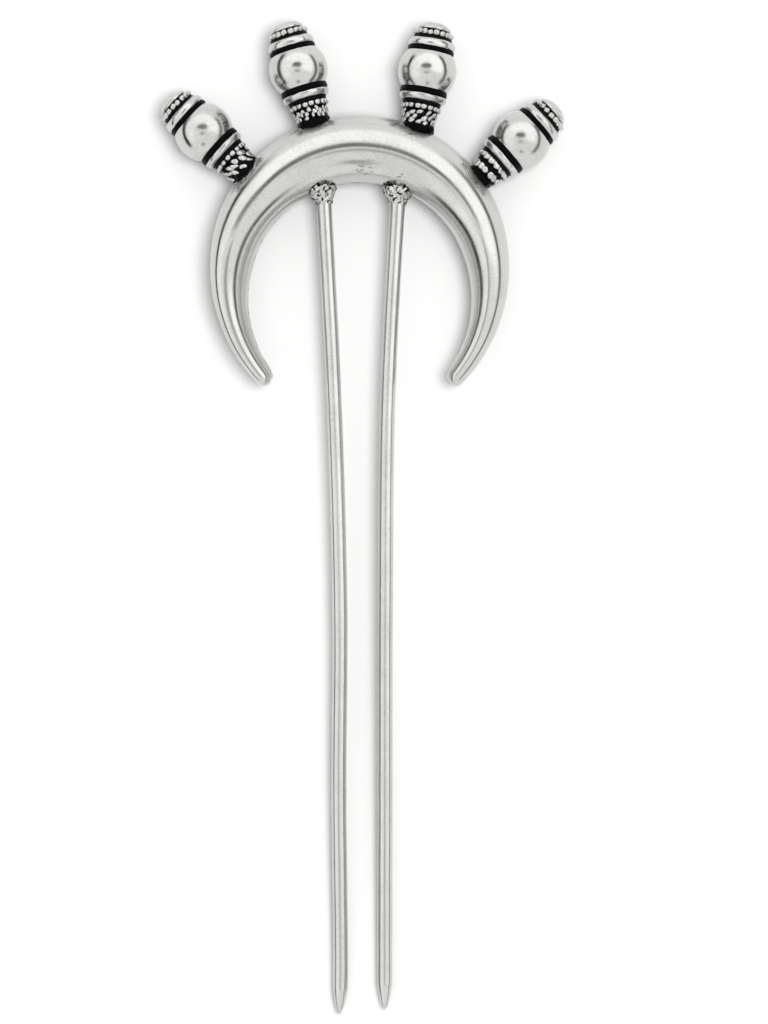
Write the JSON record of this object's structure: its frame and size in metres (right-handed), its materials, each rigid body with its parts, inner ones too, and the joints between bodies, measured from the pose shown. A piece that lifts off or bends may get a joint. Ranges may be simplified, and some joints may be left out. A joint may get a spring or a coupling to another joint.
{
  "type": "hair pin",
  "caption": "Two-pronged hair pin with a hollow crescent head and beaded ball finials; the prongs slide through a bun to hold it.",
  "frame": {"origin": "middle of the pin's footprint, on the surface that it lies on", "axes": "+Y from the prong tips to the finials, +Z out of the front face, +X to the right as the front is seen with the finials up"},
  "size_m": [0.0604, 0.1496, 0.0089],
  "materials": {
    "polished_silver": "hand-polished silver plate with fine scratches",
    "antiqued_silver": "silver plate, blackened in the recesses and rubbed bright on the high points",
    "oxidised_silver": "matt black oxidised silver",
    "drawn_silver": "drawn wire, satin with lengthwise lines"
  },
  "bodies": {
    "root": {"crescent_front_shell": "polished_silver", "crescent_back_shell": "polished_silver", "prong_left": "drawn_silver", "prong_right": "drawn_silver", "prong_collar_left": "antiqued_silver", "prong_collar_right": "antiqued_silver", "finial_1_post": "drawn_silver", "finial_1_solder_fillet": "oxidised_silver", "finial_1_neck": "antiqued_silver", "finial_1_lower_bead_ring": "antiqued_silver", "finial_1_lower_band": "polished_silver", "finial_1_lower_spacer": "oxidised_silver", "finial_1_ball": "polished_silver", "finial_1_upper_spacer": "oxidised_silver", "finial_1_upper_band": "polished_silver", "finial_1_upper_bead_ring": "antiqued_silver", "finial_1_cap": "polished_silver", "finial_2_post": "drawn_silver", "finial_2_solder_fillet": "oxidised_silver", "finial_2_neck": "antiqued_silver", "finial_2_lower_bead_ring": "antiqued_silver", "finial_2_lower_band": "polished_silver", "finial_2_lower_spacer": "oxidised_silver", "finial_2_ball": "polished_silver", "finial_2_upper_spacer": "oxidised_silver", "finial_2_upper_band": "polished_silver", "finial_2_upper_bead_ring": "antiqued_silver", "finial_2_cap": "polished_silver", "finial_3_post": "drawn_silver", "finial_3_solder_fillet": "oxidised_silver", "finial_3_neck": "antiqued_silver", "finial_3_lower_bead_ring": "antiqued_silver", "finial_3_lower_band": "polished_silver", "finial_3_lower_spacer": "oxidised_silver", "finial_3_ball": "polished_silver", "finial_3_upper_spacer": "oxidised_silver", "finial_3_upper_band": "polished_silver", "finial_3_upper_bead_ring": "antiqued_silver", "finial_3_cap": "polished_silver", "finial_4_post": "drawn_silver", "finial_4_solder_fillet": "oxidised_silver", "finial_4_neck": "antiqued_silver", "finial_4_lower_bead_ring": "antiqued_silver", "finial_4_lower_band": "polished_silver", "finial_4_lower_spacer": "oxidised_silver", "finial_4_ball": "polished_silver", "finial_4_upper_spacer": "oxidised_silver", "finial_4_upper_band": "polished_silver", "finial_4_upper_bead_ring": "antiqued_silver", "finial_4_cap": "polished_silver"}
  },
  "joints": []
}
